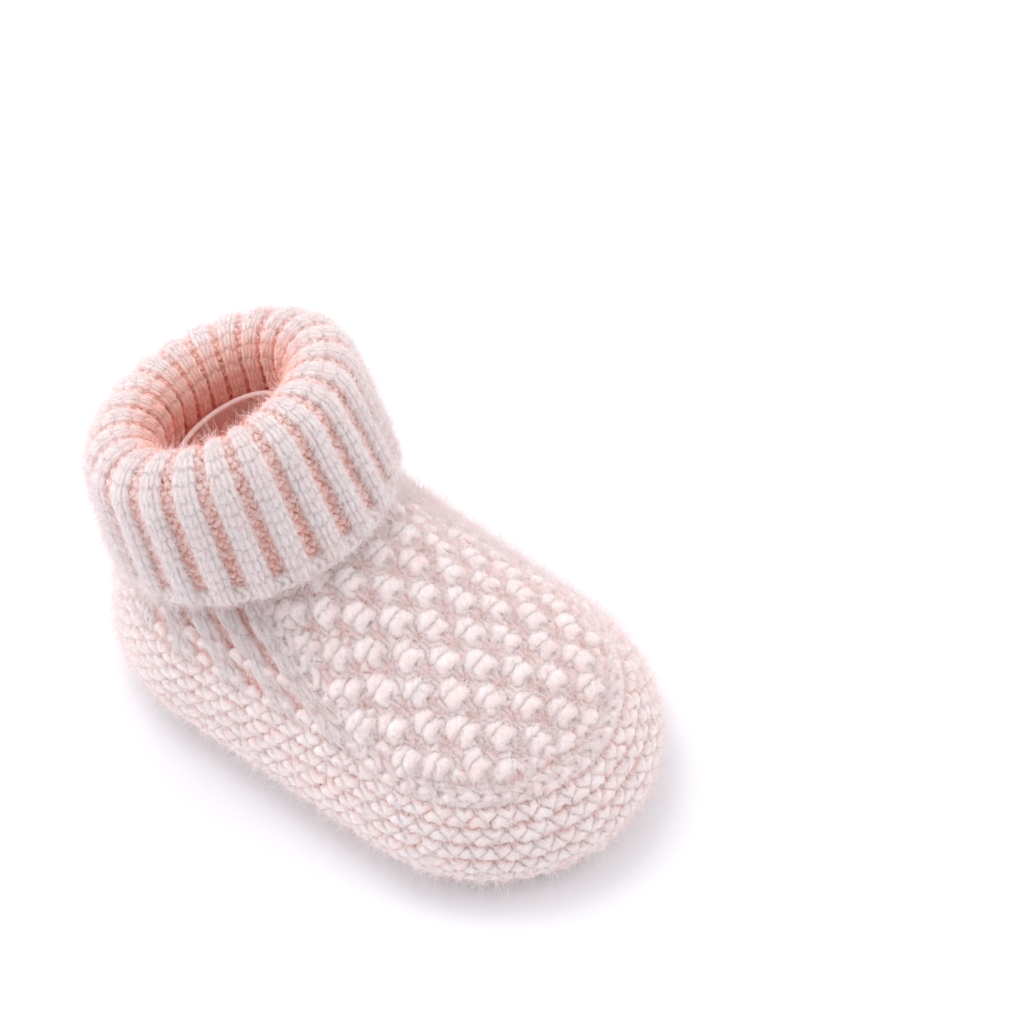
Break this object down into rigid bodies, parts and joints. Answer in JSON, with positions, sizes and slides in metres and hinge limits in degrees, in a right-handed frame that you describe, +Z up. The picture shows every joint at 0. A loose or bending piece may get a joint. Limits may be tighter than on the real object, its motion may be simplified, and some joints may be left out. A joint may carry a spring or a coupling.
{
  "type": "baby bootie",
  "caption": "Knitted baby bootie with a purl-side sole and band, a domed textured instep and a turned-down ribbed cuff, held open by a clear former.",
  "frame": {"origin": "on the resting plane, under the middle of the bootie's bounding box", "axes": "+X towards the toe along the sole, +Y to the left of the foot, +Z up"},
  "size_m": [0.102, 0.057, 0.0585],
  "materials": {
    "knit_yarn": "matte",
    "seam_yarn": "matte",
    "clear_plastic": "gloss"
  },
  "bodies": {
    "bootie": {"sole": "knit_yarn", "sole_seam": "seam_yarn", "side_band": "knit_yarn", "heel_seam": "seam_yarn", "instep_panel": "knit_yarn", "instep_seam": "seam_yarn", "ankle_rib": "knit_yarn", "leg_rib": "knit_yarn", "cuff_fold": "knit_yarn", "turned_cuff": "knit_yarn", "cuff_bind_off": "seam_yarn"},
    "former": {"plastic_former": "clear_plastic"}
  },
  "joints": [
    {"name": "former_lift", "type": "slide", "parent": "bootie", "child": "former", "axis": [-0.309, 0, 0.9511], "range_m": [0, 0.06]}
  ]
}
